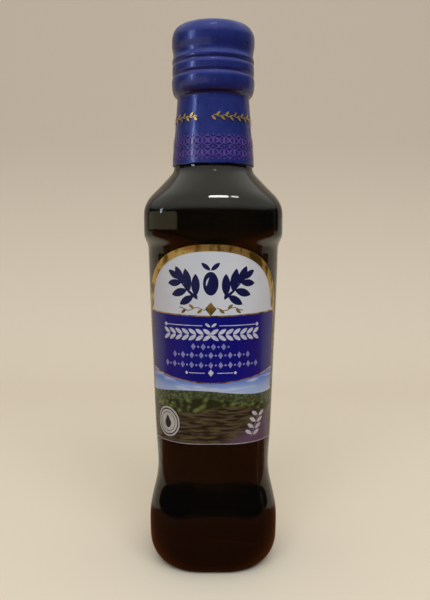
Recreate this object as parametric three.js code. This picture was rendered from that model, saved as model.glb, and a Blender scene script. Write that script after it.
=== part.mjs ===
// A quarter litre olive oil bottle, shut, standing upright, in millimetres with +Z up.
// The origin is the middle of the foot, on the surface that the bottle stands on.
// The label faces -Y. The glass is a rounded square at the base and at the shoulder. Between
// them it grows round, from the waist up, behind the label.
import * as THREE from 'three';

// Driving dimensions of the glass, as half sides or radii and as heights above the foot
const BASE_HALF = 26.2;
const WAIST_HALF = 23.0;
const PANEL_LOW_HALF = 23.6;
const PANEL_BOW_HALF = 25.65;
const PANEL_TOP_HALF = 26.25;
const SHOULDER_HALF = 26.65;
const NECK_LOW_R = 15.6;
const NECK_TOP_R = 13.5;
const NECK_BOW_R = 14.9;
const BASE_TOP_Z = 20;
const WAIST_Z = 43;
const PANEL_LOW_Z = 54.6;
const PANEL_BOW_Z = 96.5;
const PANEL_TOP_Z = 130;
const BAND_LOW_Z = 136;
const BAND_TOP_Z = 142.5;
const NECK_LOW_Z = 162;
const NECK_BOW_Z = 169;
const NECK_TOP_Z = 188;
const MOUTH_TOP_Z = 212;
const FLARE_PULL = 10;
const LEDGE_PULL = 3;
const WALL = 2.9;

// The mouth, under the cap: a bead, a plain length and a rounded lip round the bore
const BEAD_R = 13.9;
const BEAD_HEIGHT = 3;
const MOUTH_R = 13.5;
const BORE_R = 10.4;
const LIP_BEVEL = 0.8;

// The foot: a flat ring round a shallow push-up, and a rounded heel outside it
const HEEL_OUT = 6.9;
const HEEL_UP = 11.9;
const FOOT_OUTER_R = BASE_HALF - HEEL_OUT;
const FOOT_INNER_R = FOOT_OUTER_R - 2;
const PUSH_UP = 3;
const PUSH_UP_BOW_R = FOOT_INNER_R * 0.75;
const FLOOR_GLASS = 4.4;
const FLOOR_DISH = 1.2;
const INSIDE_HEEL_R = 9;
const INSIDE_NECK_BOW_R = 12.3;

// How square the glass is: the share of the half side that is flat
const FOOT_FLAT = 0.2;
const BASE_FLAT = 0.38;
const WAIST_FLAT = 0.2;
const SHOULDER_FLAT = 0.485;
const FLARE_LOW_Z = 14;
const PANEL_ROUND_Z = 86.8;
const SLOPE_LOW_Z = 144;
const ROUND_AT_NECK_Z = 161;

// The shoulder: a round edge, a straight slope and a hollow fillet into the neck
const SHOULDER_EDGE_R = 13;
const SHOULDER_TURN = THREE.MathUtils.degToRad(42);
const NECK_FILLET_R = 5;

// The oil stands in the neck, a little clear of the glass
const OIL_LEVEL_Z = 168;
const OIL_GAP = 0.3;

// The screw cap and the shrunk film over it
const TOTAL_HEIGHT = 214;
const FILM = 0.4;
const FILM_GAP = 0.2;
const FILM_HALF = 16;
const FILM_TOP_HOLE_R = 11.8;
const FILM_EDGE_OUT = 3.5;
const FILM_EDGE_UP = 5;
const CAP_LOW_Z = 189.6;
const CAP_WALL = 1.15;
const CAP_CLEAR_OVER_LIP = 0.4;

// What shows of the cap through the film, from its lower edge up
const BULGE_OUT = 0.15;
const BULGE_ROUND = 0.6;
const BULGE_MIDDLE_Z = 192.8;
const THIN_GROOVE_Z = 195.6;
const UPPER_GROOVE_Z = 200.1;
const GROOVE_HALF = 0.6;
const GROOVE_DEPTH = 0.4;
const RING_SET_BACK = 0.12;
const HOLLOW_LOW_Z = 201.8;
const HOLLOW_MIDDLE_Z = 203.6;
const HOLLOW_TOP_Z = 207;
const HOLLOW_PULL = 0.85;

// The front label, an arch-topped sheet wrapped round the panel
const LABEL_LOW_Z = 54.7;
const LABEL_SPRING_Z = 108;
const LABEL_TOP_Z = 131.8;
const LABEL_HALF_ANGLE = THREE.MathUtils.degToRad(69.4);
const LABEL_TURN = THREE.MathUtils.degToRad(-2);
const LABEL_ARCH_POWER = 2.15;
const LABEL_PINCH = 0.59;
const LABEL_GAP = 0.15;
const LABEL_THICK = 0.13;

// Facets round the axis, and steps along each curve of an outline
const GLASS_SIDES = 40;
const OIL_SIDES = 24;
const CAP_SIDES = 28;
const FILM_SIDES = 32;
const LABEL_COLUMNS = 26;
const LABEL_ROWS = 6;
const GLASS_CURVE_STEPS = 5;
const INSIDE_CURVE_STEPS = 4;
const CAP_CURVE_STEPS = 4;
const SAME_POINT = 1e-6;

function smoothStep(low, high, value) {
  return THREE.MathUtils.smoothstep(value, low, high);
}

// The flat share of the section at a height
function flatShare(z) {
  const middle = (BASE_TOP_Z + ROUND_AT_NECK_Z) / 2;
  if (z < middle) {
    const foot = THREE.MathUtils.lerp(FOOT_FLAT, BASE_FLAT, smoothStep(0, BASE_TOP_Z, z));
    const low = THREE.MathUtils.lerp(foot, WAIST_FLAT, smoothStep(FLARE_LOW_Z, WAIST_Z, z));
    const left = (PANEL_ROUND_Z - z) / (PANEL_ROUND_Z - PANEL_LOW_Z);
    return low * THREE.MathUtils.clamp(left, 0, 1);
  }
  const rise = smoothStep(PANEL_TOP_Z, BAND_LOW_Z, z);
  return SHOULDER_FLAT * rise * (1 - smoothStep(SLOPE_LOW_Z, ROUND_AT_NECK_Z, z));
}

// Distance from the axis to a rounded square of this half side, at an angle from a face's middle
function sectionRadius(half, share, angle) {
  const quarter = Math.PI / 2;
  const turned = angle + Math.PI / 4;
  const a = Math.abs(turned - Math.floor(turned / quarter) * quarter - Math.PI / 4);
  const flat = half * share;
  if (half * Math.tan(a) <= flat) return half / Math.cos(a);
  const corner = half - flat;
  const sum = Math.cos(a) + Math.sin(a);
  return flat * sum + Math.sqrt(flat * flat * (sum * sum - 2) + corner * corner);
}

// A lathed solid about +Z, its round sections then pressed to the bottle's rounded square
function lathe(profile, sides, pressed) {
  const geometry = new THREE.LatheGeometry(profile, sides);
  geometry.rotateX(Math.PI / 2);
  const place = geometry.getAttribute('position');
  for (let i = 0; pressed && i < place.count; i += 1) {
    const x = place.getX(i);
    const y = place.getY(i);
    const half = Math.hypot(x, y);
    if (half > 0) {
      const angle = Math.atan2(y, x);
      const radius = sectionRadius(half, flatShare(place.getZ(i)), angle);
      place.setXY(i, (x * radius) / half, (y * radius) / half);
    }
  }
  geometry.computeVertexNormals();
  return geometry;
}

// Points of a path: the ends of its lines, and each of its curves cut in so many steps
function pointsOf(path, curveSteps) {
  const points = [path.curves[0].getPoint(0)];
  for (const curve of path.curves) {
    const count = curve.isLineCurve ? 1 : curveSteps;
    for (let k = 1; k <= count; k += 1) {
      const point = curve.getPoint(k / count);
      if (point.distanceTo(points[points.length - 1]) > SAME_POINT) points.push(point);
    }
  }
  return points;
}

// The outline of the glass body from heel to neck, set inwards by a distance
function bodyPath(path, inset, heelOut, heelUp, lowZ) {
  const base = BASE_HALF - inset;
  const waist = WAIST_HALF - inset;
  const panelTop = PANEL_TOP_HALF - inset;
  const band = SHOULDER_HALF - inset;
  const edge = SHOULDER_EDGE_R - inset;
  const fillet = NECK_FILLET_R + inset;
  path.absellipse(base - heelOut, lowZ + heelUp, heelOut, heelUp, -Math.PI / 2, 0);
  path.lineTo(base, BASE_TOP_Z);
  path.bezierCurveTo(base, BASE_TOP_Z + FLARE_PULL, waist, WAIST_Z - FLARE_PULL, waist, WAIST_Z);
  path.lineTo(PANEL_LOW_HALF - inset, PANEL_LOW_Z);
  path.quadraticCurveTo(PANEL_BOW_HALF - inset, PANEL_BOW_Z, panelTop, PANEL_TOP_Z);
  const ledgeLowZ = PANEL_TOP_Z + LEDGE_PULL;
  path.bezierCurveTo(panelTop, ledgeLowZ, band, BAND_LOW_Z - LEDGE_PULL, band, BAND_LOW_Z);
  path.lineTo(band, BAND_TOP_Z);
  path.absarc(band - edge, BAND_TOP_Z, edge, 0, SHOULDER_TURN);
  const filletX = NECK_LOW_R - inset + fillet;
  path.absarc(filletX, NECK_LOW_Z, fillet, Math.PI + SHOULDER_TURN, Math.PI, true);
}

function glassProfile() {
  const path = new THREE.Path();
  path.moveTo(0, PUSH_UP);
  path.quadraticCurveTo(PUSH_UP_BOW_R, PUSH_UP, FOOT_INNER_R, 0);
  path.lineTo(FOOT_OUTER_R, 0);
  bodyPath(path, 0, HEEL_OUT, HEEL_UP, 0);
  path.quadraticCurveTo(NECK_BOW_R, NECK_BOW_Z, NECK_TOP_R, NECK_TOP_Z);
  path.lineTo(BEAD_R, NECK_TOP_Z + BEAD_R - NECK_TOP_R);
  path.lineTo(BEAD_R, NECK_TOP_Z + BEAD_HEIGHT);
  path.lineTo(MOUTH_R, NECK_TOP_Z + BEAD_HEIGHT + BEAD_R - MOUTH_R);
  path.lineTo(MOUTH_R, MOUTH_TOP_Z - LIP_BEVEL);
  path.lineTo(MOUTH_R - LIP_BEVEL, MOUTH_TOP_Z);
  path.lineTo(BORE_R + LIP_BEVEL, MOUTH_TOP_Z);
  path.lineTo(BORE_R, MOUTH_TOP_Z - LIP_BEVEL);
  const outer = pointsOf(path, GLASS_CURVE_STEPS);
  const inner = insidePoints(0).reverse();
  return [...outer, ...inner];
}

// The inside of the glass from the middle of its floor to the bore, shrunk by a gap
function insidePoints(gap) {
  const inset = WALL + gap;
  const floorZ = PUSH_UP + FLOOR_GLASS + gap;
  const path = new THREE.Path();
  path.moveTo(0, floorZ);
  path.lineTo(BASE_HALF - inset - INSIDE_HEEL_R, floorZ - FLOOR_DISH);
  bodyPath(path, inset, INSIDE_HEEL_R, INSIDE_HEEL_R, floorZ - FLOOR_DISH);
  path.quadraticCurveTo(INSIDE_NECK_BOW_R - gap, NECK_BOW_Z, BORE_R - gap, NECK_TOP_Z);
  return pointsOf(path, INSIDE_CURVE_STEPS);
}

function makeBottle(material) {
  return new THREE.Mesh(lathe(glassProfile(), GLASS_SIDES, true), material);
}

// The oil: the inside of the glass, cut off flat at its level
function makeOil(material) {
  const inside = insidePoints(OIL_GAP);
  const above = inside.findIndex((point) => point.y > OIL_LEVEL_Z);
  const wall = inside.slice(0, above);
  const last = wall[above - 1];
  const next = inside[above];
  const share = (OIL_LEVEL_Z - last.y) / (next.y - last.y);
  const rim = new THREE.Vector2(THREE.MathUtils.lerp(last.x, next.x, share), OIL_LEVEL_Z);
  const profile = [...wall, rim, new THREE.Vector2(0, OIL_LEVEL_Z)];
  return new THREE.Mesh(lathe(profile, OIL_SIDES, true), material);
}

// The outline of the cap's side from its lower edge to under the top edge, as the film
// shows it: a bulge, a thin groove, a ring, a groove, a ridge and a hollow band.
// grow is added to every radius, and the rounding under the bulge starts at lowZ.
function capOutline(path, grow, lowZ) {
  const half = FILM_HALF + grow;
  const ring = half - RING_SET_BACK;
  path.lineTo(half - BULGE_ROUND, lowZ);
  path.quadraticCurveTo(half + BULGE_OUT, lowZ + BULGE_ROUND, half + BULGE_OUT, BULGE_MIDDLE_Z);
  path.lineTo(half, THIN_GROOVE_Z - GROOVE_HALF);
  path.lineTo(half - GROOVE_DEPTH, THIN_GROOVE_Z);
  path.lineTo(ring, THIN_GROOVE_Z + GROOVE_HALF);
  path.lineTo(ring, UPPER_GROOVE_Z - GROOVE_HALF);
  path.lineTo(ring - GROOVE_DEPTH / 2, UPPER_GROOVE_Z);
  path.lineTo(ring, UPPER_GROOVE_Z + GROOVE_HALF);
  path.lineTo(ring, HOLLOW_LOW_Z);
  path.quadraticCurveTo(half - HOLLOW_PULL, HOLLOW_MIDDLE_Z, half, HOLLOW_TOP_Z);
}

// The screw cap, open below, whose top shows through the hole in the film
function makeCap(material) {
  const grow = -FILM - FILM_GAP;
  const half = FILM_HALF + grow;
  const topZ = TOTAL_HEIGHT - FILM - FILM_GAP;
  const edgeOut = FILM_EDGE_OUT + grow;
  const edgeUp = FILM_EDGE_UP + grow;
  const insideR = half - CAP_WALL;
  const ceilingZ = MOUTH_TOP_Z + CAP_CLEAR_OVER_LIP;
  const path = new THREE.Path();
  path.moveTo(0, ceilingZ);
  path.lineTo(insideR, ceilingZ);
  path.lineTo(insideR, CAP_LOW_Z);
  capOutline(path, grow, CAP_LOW_Z);
  path.lineTo(half, topZ - edgeUp);
  path.absellipse(half - edgeOut, topZ - edgeUp, edgeOut, edgeUp, 0, Math.PI / 2);
  path.lineTo(0, topZ);
  const profile = pointsOf(path, CAP_CURVE_STEPS);
  return new THREE.Mesh(lathe(profile, CAP_SIDES, false), material);
}

// One side of the film: up the neck from its lower edge, out under the cap, up the cap's
// side and in over its top edge
function filmSide(inset) {
  const off = FILM + FILM_GAP - inset;
  const half = FILM_HALF - inset;
  const topZ = TOTAL_HEIGHT - inset;
  const edgeOut = FILM_EDGE_OUT - inset;
  const edgeUp = FILM_EDGE_UP - inset;
  const lift = inset - FILM;
  const underZ = CAP_LOW_Z - FILM_GAP + lift;
  const path = new THREE.Path();
  path.moveTo(NECK_LOW_R + off, NECK_LOW_Z);
  path.quadraticCurveTo(NECK_BOW_R + off, NECK_BOW_Z, NECK_TOP_R + off, NECK_TOP_Z + lift);
  path.lineTo(half - 2 * BULGE_ROUND, underZ - BULGE_ROUND);
  capOutline(path, -inset, underZ);
  path.lineTo(half, topZ - edgeUp);
  path.absellipse(half - edgeOut, topZ - edgeUp, edgeOut, edgeUp, 0, Math.PI / 2);
  path.lineTo(FILM_TOP_HOLE_R, topZ);
  return pointsOf(path, CAP_CURVE_STEPS);
}

function makeCapsule(material) {
  const outer = filmSide(0);
  const inner = filmSide(FILM).reverse();
  const profile = [...outer, ...inner, outer[0].clone()];
  return new THREE.Mesh(lathe(profile, FILM_SIDES, false), material);
}

// The outside half side of the glass at a height on the panel, read off the glass outline
function panelHalf(z) {
  const path = new THREE.Path();
  path.moveTo(FOOT_OUTER_R, 0);
  bodyPath(path, 0, HEEL_OUT, HEEL_UP, 0);
  const points = pointsOf(path, GLASS_CURVE_STEPS);
  const upper = points.findIndex((point) => point.y > z);
  const low = points[upper - 1];
  const high = points[upper];
  return THREE.MathUtils.lerp(low.x, high.x, (z - low.y) / (high.y - low.y));
}

// Half the angle that the label spans at a height, less where the glass is squarer
function labelHalfAngle(z) {
  return LABEL_HALF_ANGLE * (1 - LABEL_PINCH * flatShare(Math.min(z, LABEL_SPRING_Z)));
}

// The label: a grid of columns round the panel, as tall as the arch is there, made a sheet
function makeLabel(material) {
  const columns = LABEL_COLUMNS;
  const rows = LABEL_ROWS;
  const places = [];
  const indices = [];
  for (const offset of [LABEL_GAP, LABEL_GAP + LABEL_THICK]) {
    for (let c = 0; c <= columns; c += 1) {
      // columns crowd towards the ends, where the arch turns down
      const share = Math.sin((Math.PI / 2) * ((2 * c) / columns - 1));
      const arch = Math.max(0, 1 - Math.abs(share) ** LABEL_ARCH_POWER) ** (1 / LABEL_ARCH_POWER);
      const topZ = THREE.MathUtils.lerp(LABEL_SPRING_Z, LABEL_TOP_Z, arch);
      for (let r = 0; r <= rows; r += 1) {
        const z = THREE.MathUtils.lerp(LABEL_LOW_Z, topZ, r / rows);
        const angle = share * labelHalfAngle(z) + LABEL_TURN - Math.PI / 2;
        const radius = sectionRadius(panelHalf(z), flatShare(z), angle) + offset;
        places.push(radius * Math.cos(angle), radius * Math.sin(angle), z);
      }
    }
  }
  const sheet = (columns + 1) * (rows + 1);
  const at = (side, c, r) => side * sheet + c * (rows + 1) + r;
  const quad = (a, b, c, d) => indices.push(a, b, c, a, c, d);
  for (let c = 0; c < columns; c += 1) {
    for (let r = 0; r < rows; r += 1) {
      quad(at(0, c, r), at(0, c, r + 1), at(0, c + 1, r + 1), at(0, c + 1, r));
      quad(at(1, c, r), at(1, c + 1, r), at(1, c + 1, r + 1), at(1, c, r + 1));
    }
    quad(at(0, c, 0), at(0, c + 1, 0), at(1, c + 1, 0), at(1, c, 0));
    quad(at(0, c, rows), at(1, c, rows), at(1, c + 1, rows), at(0, c + 1, rows));
  }
  for (let r = 0; r < rows; r += 1) {
    quad(at(0, 0, r), at(1, 0, r), at(1, 0, r + 1), at(0, 0, r + 1));
    quad(at(0, columns, r), at(0, columns, r + 1), at(1, columns, r + 1), at(1, columns, r));
  }
  const geometry = new THREE.BufferGeometry();
  geometry.setAttribute('position', new THREE.Float32BufferAttribute(places, 3));
  geometry.setIndex(indices);
  geometry.computeVertexNormals();
  return new THREE.Mesh(geometry, material);
}

function finish(colour, roughness, metalness) {
  return new THREE.MeshStandardMaterial({ color: colour, roughness, metalness });
}

const PIECES = [
  ['bottle', makeBottle, finish(0x14150c, 0.08, 0)],
  ['oil', makeOil, finish(0x5a4a08, 0.1, 0)],
  ['cap', makeCap, finish(0x1d2a78, 0.35, 0.6)],
  ['capsule', makeCapsule, finish(0x252a70, 0.28, 0)],
  ['label', makeLabel, finish(0x2a2a78, 0.4, 0)],
];

const group = new THREE.Group();
for (const [name, make, material] of PIECES) {
  const mesh = make(material);
  mesh.name = name;
  group.add(mesh);
}

export default group;
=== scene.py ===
"""The looks of a small dark glass olive oil bottle, shut and full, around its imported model.

Outlines are in millimetres, as distance from the bottle's axis and height above its foot,
and become metres when a mesh is made.
"""

import math
from bisect import bisect

import bmesh
import bpy
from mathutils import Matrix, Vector, noise


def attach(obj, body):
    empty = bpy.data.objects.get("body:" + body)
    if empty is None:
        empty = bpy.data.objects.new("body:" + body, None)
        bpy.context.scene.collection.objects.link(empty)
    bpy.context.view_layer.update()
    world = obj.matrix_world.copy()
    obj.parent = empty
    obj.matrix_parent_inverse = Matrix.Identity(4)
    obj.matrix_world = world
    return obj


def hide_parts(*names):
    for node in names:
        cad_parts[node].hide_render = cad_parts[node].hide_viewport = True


MM = 0.001
SAME_PLACE = 1e-6
FULL_TURN = 2 * math.pi

# The glass, as half sides or radii and as heights
BASE_HALF = 26.2
WAIST_HALF = 23.0
PANEL_LOW_HALF = 23.6
PANEL_BOW_HALF = 25.65
PANEL_TOP_HALF = 26.25
SHOULDER_HALF = 26.65
NECK_LOW_R = 15.6
NECK_BOW_R = 14.9
NECK_TOP_R = 13.5
BASE_TOP_Z = 20
WAIST_Z = 43
PANEL_LOW_Z = 54.6
PANEL_BOW_Z = 96.5
PANEL_TOP_Z = 130
BAND_LOW_Z = 136
BAND_TOP_Z = 142.5
NECK_LOW_Z = 162
NECK_BOW_Z = 169
NECK_TOP_Z = 188
MOUTH_TOP_Z = 212
FLARE_PULL = 10
UNDER_LABEL_PULL = 3
LEDGE_PULL = 3
WALL = 2.9
BEAD_R = 13.9
BEAD_HALF_HEIGHT = 1.5
MOUTH_R = 13.5
BORE_R = 10.4
BORE_BOW = 1.9
LIP_ROUND = 0.8
HEEL_OUT = 6.9
HEEL_UP = 11.9
FOOT_OUTER_R = BASE_HALF - HEEL_OUT
FOOT_INNER_R = FOOT_OUTER_R - 2
PUSH_UP = 3
PUSH_UP_FLAT = 0.75
FLOOR_Z = PUSH_UP + 4.4
FLOOR_DISH = 1.2
INSIDE_HEEL_R = 9
SHOULDER_EDGE_R = 13
SHOULDER_TURN = 42
NECK_FILLET_R = 5
OIL_LEVEL_Z = 168
OIL_INTO_WALL = 0.12
OIL_TURNS_UP = 0.8
OIL_TURN_REACH = 3.0

# How square the glass is, as the share of the half side that is flat, and where that changes
FOOT_FLAT = 0.2
BASE_FLAT = 0.38
WAIST_FLAT = 0.2
SHOULDER_FLAT = 0.485
FLARE_LOW_Z = 14
FADE_LOW_Z = 50.6
FADE_TOP_Z = 90.8
SLOPE_LOW_Z = 144
ROUND_AT_NECK_Z = 161

# The screw cap and the shrunk film over it
TOTAL_HEIGHT = 214
FILM = 0.4
FILM_GAP = 0.2
FILM_HALF = 16
FILM_TOP_HOLE_R = 11.8
FILM_EDGE_OUT = 3.5
FILM_EDGE_UP = 5
CAP_LOW_Z = 189.6

# The front label
LABEL_LOW_Z = 54.7
LABEL_SPRING_Z = 108
LABEL_TOP_Z = 131.8
LABEL_HALF_ANGLE = math.radians(69.4)
LABEL_TURN = math.radians(-2)
LABEL_ARCH_POWER = 2.15
LABEL_PINCH = 0.59
LABEL_GAP = 0.15
LABEL_THICK = 0.13
PRINT_LIFT = 0.015

GLASS_STEPS = 144
FILM_STEPS = 240
PLAIN_STEPS = 96
SHARP_ANGLE = math.radians(50)


def lerp(low, high, share):
    return low + (high - low) * share


def smooth_step(low, high, value):
    share = min(max((value - low) / (high - low), 0), 1)
    return share * share * (3 - 2 * share)


def srgb(red, green, blue):
    """A colour as the screen shows it, 0 to 255, as the renderer wants it."""
    def linear(part):
        part /= 255
        return part / 12.92 if part <= 0.04045 else ((part + 0.055) / 1.055) ** 2.4
    return (linear(red), linear(green), linear(blue), 1)


# Outlines

def arc(centre_r, centre_z, out, up, start, end, steps):
    """Part of an ellipse, between two angles in degrees."""
    turns = [math.radians(lerp(start, end, k / steps)) for k in range(steps + 1)]
    return [(centre_r + out * math.cos(t), centre_z + up * math.sin(t)) for t in turns]


def bend(controls, steps):
    """A Bezier curve over its control points; two of them give a straight line."""
    path = []
    for k in range(steps + 1):
        ring = controls
        while len(ring) > 1:
            ring = [
                (lerp(a[0], b[0], k / steps), lerp(a[1], b[1], k / steps))
                for a, b in zip(ring, ring[1:])
            ]
        path.append(ring[0])
    return path


def flat_share(z):
    """The flat share of the glass section at a height."""
    if z < (BASE_TOP_Z + ROUND_AT_NECK_Z) / 2:
        foot = lerp(FOOT_FLAT, BASE_FLAT, smooth_step(0, BASE_TOP_Z, z))
        low = lerp(foot, WAIST_FLAT, smooth_step(FLARE_LOW_Z, WAIST_Z, z))
        return low * (1 - smooth_step(FADE_LOW_Z, FADE_TOP_Z, z))
    rise = smooth_step(PANEL_TOP_Z, BAND_LOW_Z, z)
    return SHOULDER_FLAT * rise * (1 - smooth_step(SLOPE_LOW_Z, ROUND_AT_NECK_Z, z))


def section_radius(half, share, angle):
    """Distance from the axis to a rounded square, at an angle from a face's middle."""
    quarter = math.pi / 2
    turned = angle + quarter / 2
    a = abs(turned % quarter - quarter / 2)
    flat = half * share
    if half * math.tan(a) <= flat:
        return half / math.cos(a)
    corner = half - flat
    total = math.cos(a) + math.sin(a)
    return flat * total + math.sqrt(flat * flat * (total * total - 2) + corner * corner)


def body_outline(inset, heel_out, heel_up, low_z):
    """The glass from heel to neck, set inwards by a distance."""
    base = BASE_HALF - inset
    waist = WAIST_HALF - inset
    panel_low = PANEL_LOW_HALF - inset
    bow = PANEL_BOW_HALF - inset
    panel_top = PANEL_TOP_HALF - inset
    band = SHOULDER_HALF - inset
    edge = SHOULDER_EDGE_R - inset
    fillet = NECK_FILLET_R + inset
    heel = arc(base - heel_out, low_z + heel_up, heel_out, heel_up, -90, 0, 18)
    side = bend([(base, low_z + heel_up), (base, BASE_TOP_Z)], 4)
    flare = bend(
        [
            (base, BASE_TOP_Z),
            (base, BASE_TOP_Z + FLARE_PULL),
            (waist, WAIST_Z - FLARE_PULL),
            (waist, WAIST_Z),
        ],
        16,
    )
    under_label = bend(
        [(waist, WAIST_Z), (waist, WAIST_Z + UNDER_LABEL_PULL), (panel_low, PANEL_LOW_Z)], 10
    )
    panel = bend([(panel_low, PANEL_LOW_Z), (bow, PANEL_BOW_Z), (panel_top, PANEL_TOP_Z)], 28)
    ledge = bend(
        [
            (panel_top, PANEL_TOP_Z),
            (panel_top, PANEL_TOP_Z + LEDGE_PULL),
            (band, BAND_LOW_Z - LEDGE_PULL),
            (band, BAND_LOW_Z),
        ],
        8,
    )
    upright = bend([(band, BAND_LOW_Z), (band, BAND_TOP_Z)], 4)
    shoulder = arc(band - edge, BAND_TOP_Z, edge, edge, 0, SHOULDER_TURN, 14)
    neck_r = NECK_LOW_R - inset
    into_neck = arc(neck_r + fillet, NECK_LOW_Z, fillet, fillet, 180 + SHOULDER_TURN, 180, 10)
    slope = bend([shoulder[-1], into_neck[0]], 8)
    body = heel + side + flare + under_label + panel
    return body + ledge + upright + shoulder + slope + into_neck


def inside_outline(inset, mouth_r):
    """The inside of the glass from the middle of its floor to the bore."""
    floor_z = FLOOR_Z + inset - WALL
    heel_z = floor_z - FLOOR_DISH
    floor = bend([(0, floor_z), (BASE_HALF - inset - INSIDE_HEEL_R, heel_z)], 6)
    body = body_outline(inset, INSIDE_HEEL_R, INSIDE_HEEL_R, heel_z)
    neck = bend(
        [(NECK_LOW_R - inset, NECK_LOW_Z), (mouth_r + BORE_BOW, NECK_BOW_Z), (mouth_r, NECK_TOP_Z)], 10
    )
    return floor + body + neck


def glass_outline():
    push_up = bend([(0, PUSH_UP), (FOOT_INNER_R * PUSH_UP_FLAT, PUSH_UP), (FOOT_INNER_R, 0)], 12)
    body = body_outline(0, HEEL_OUT, HEEL_UP, 0)
    neck = bend([(NECK_LOW_R, NECK_LOW_Z), (NECK_BOW_R, NECK_BOW_Z), (NECK_TOP_R, NECK_TOP_Z)], 14)
    bead_z = NECK_TOP_Z + BEAD_HALF_HEIGHT
    bead = arc(NECK_TOP_R, bead_z, BEAD_R - NECK_TOP_R, BEAD_HALF_HEIGHT, -90, 90, 6)
    lip_z = MOUTH_TOP_Z - LIP_ROUND
    lip = arc(MOUTH_R - LIP_ROUND, lip_z, LIP_ROUND, LIP_ROUND, 0, 90, 4)
    lip += arc(BORE_R + LIP_ROUND, lip_z, LIP_ROUND, LIP_ROUND, 90, 180, 4)
    return push_up + body + neck + bead + lip + inside_outline(WALL, BORE_R)[::-1]


BODY_LINE = sorted(body_outline(0, HEEL_OUT, HEEL_UP, 0), key=lambda point: point[1])
BODY_HEIGHTS = [z for _, z in BODY_LINE]


def body_half(z):
    """The outside half side of the glass at a height."""
    upper = min(max(bisect(BODY_HEIGHTS, z), 1), len(BODY_LINE) - 1)
    low, high = BODY_LINE[upper - 1], BODY_LINE[upper]
    return lerp(low[0], high[0], (z - low[1]) / max(high[1] - low[1], SAME_PLACE))


# Meshes

def turned(outline, steps):
    """A closed solid of revolution from an outline."""
    bm = bmesh.new()
    verts = [bm.verts.new((r * MM, 0, z * MM)) for r, z in outline]
    edges = [bm.edges.new(pair) for pair in zip(verts, verts[1:])]
    bmesh.ops.spin(
        bm,
        geom=verts + edges,
        cent=(0, 0, 0),
        axis=(0, 0, 1),
        angle=FULL_TURN,
        steps=steps,
        use_merge=True,
    )
    bmesh.ops.remove_doubles(bm, verts=bm.verts, dist=SAME_PLACE)
    bmesh.ops.recalc_face_normals(bm, faces=bm.faces)
    return bm


def press_square(bm):
    """Presses round sections to the bottle's rounded square."""
    for v in bm.verts:
        if math.hypot(v.co.x, v.co.y) > SAME_PLACE:
            angle = math.atan2(v.co.y, v.co.x)
            scale = section_radius(1, flat_share(v.co.z / MM), angle)
            v.co.x *= scale
            v.co.y *= scale


def piece(name, bm, material, replaced):
    """Makes the object, smooth apart from its sharp edges, and ties it to the frame."""
    mesh = bpy.data.meshes.new(name)
    bm.to_mesh(mesh)
    bm.free()
    mesh.polygons.foreach_set("use_smooth", [True] * len(mesh.polygons))
    mesh.set_sharp_from_angle(angle=SHARP_ANGLE)
    mesh.materials.append(material)
    obj = bpy.data.objects.new(name, mesh)
    bpy.context.scene.collection.objects.link(obj)
    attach(obj, "root")
    if replaced:
        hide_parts(replaced)
    return obj


# Materials

class Nodes:
    """A material's node tree, with short ways to add the nodes that these finishes share."""

    def __init__(self, name):
        self.material = bpy.data.materials.new(name)
        self.material.use_nodes = True
        self.tree = self.material.node_tree
        self.shader = self.tree.nodes["Principled BSDF"]
        self.output = self.tree.nodes["Material Output"]

    def add(self, kind, **settings):
        node = self.tree.nodes.new(kind)
        for key, value in settings.items():
            setattr(node, key, value)
        return node

    def link(self, source, target):
        self.tree.links.new(source, target)

    def feed(self, socket, value):
        """Links a socket to an input, or sets the input to a number or colour."""
        if isinstance(value, bpy.types.NodeSocket):
            self.link(value, socket)
        else:
            socket.default_value = value

    def set(self, **values):
        """Sets or links inputs of the shader, with _ for the spaces in their names."""
        for key, value in values.items():
            self.feed(self.shader.inputs[key.replace("_", " ")], value)

    def math(self, operation, *values):
        node = self.add("ShaderNodeMath", operation=operation)
        for socket, value in zip(node.inputs, values):
            self.feed(socket, value)
        return node.outputs[0]

    def ramp(self, value, low, high, bottom=0.0, top=1.0):
        """Runs smoothly from bottom to top while value goes from low to high."""
        node = self.add("ShaderNodeMapRange", interpolation_type="SMOOTHSTEP")
        for socket, part in zip(node.inputs, (value, low, high, bottom, top)):
            self.feed(socket, part)
        return node.outputs[0]

    def mix(self, share, first, second):
        node = self.add("ShaderNodeMix", data_type="RGBA")
        self.feed(node.inputs[0], share)
        self.feed(node.inputs[6], first)
        self.feed(node.inputs[7], second)
        return node.outputs[2]

    def place(self, scale=(1, 1, 1)):
        """The place on the object in millimetres, stretched by a scale."""
        where = self.add("ShaderNodeTexCoord").outputs["Object"]
        mapping = self.add("ShaderNodeMapping")
        self.link(where, mapping.inputs["Vector"])
        mapping.inputs["Scale"].default_value = [part / MM for part in scale]
        return mapping.outputs[0]

    def noise(self, size, detail=2.0, scale=(1, 1, 1)):
        """Noise whose lumps are about size millimetres across."""
        node = self.add("ShaderNodeTexNoise")
        self.link(self.place(scale), node.inputs["Vector"])
        node.inputs["Scale"].default_value = 1 / size
        node.inputs["Detail"].default_value = detail
        return node.outputs[0]

    def bump(self, height, depth):
        """A bump of a height map, depth millimetres from its lowest to its highest."""
        node = self.add("ShaderNodeBump")
        node.inputs["Distance"].default_value = depth * MM
        self.link(height, node.inputs["Height"])
        self.link(node.outputs[0], self.shader.inputs["Normal"])

    def round_the_axis(self):
        """The angle from the front in radians, and the height in millimetres."""
        parts = self.add("ShaderNodeSeparateXYZ")
        self.link(self.place(), parts.inputs[0])
        x, y, z = parts.outputs
        return self.math("ARCTAN2", x, self.math("MULTIPLY", y, -1.0)), z


GLASS_IOR = 1.52
GLASS_TINT = (0.47, 0.43, 0.04, 1)
GLASS_DENSITY = 1500
GLASS_BUMP = 0.05
SEAM_HALF_WIDTH = 0.006
OIL_IOR = 1.47
OIL_TINT = (0.81, 0.76, 0.05, 1)
OIL_DENSITY = 80


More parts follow.
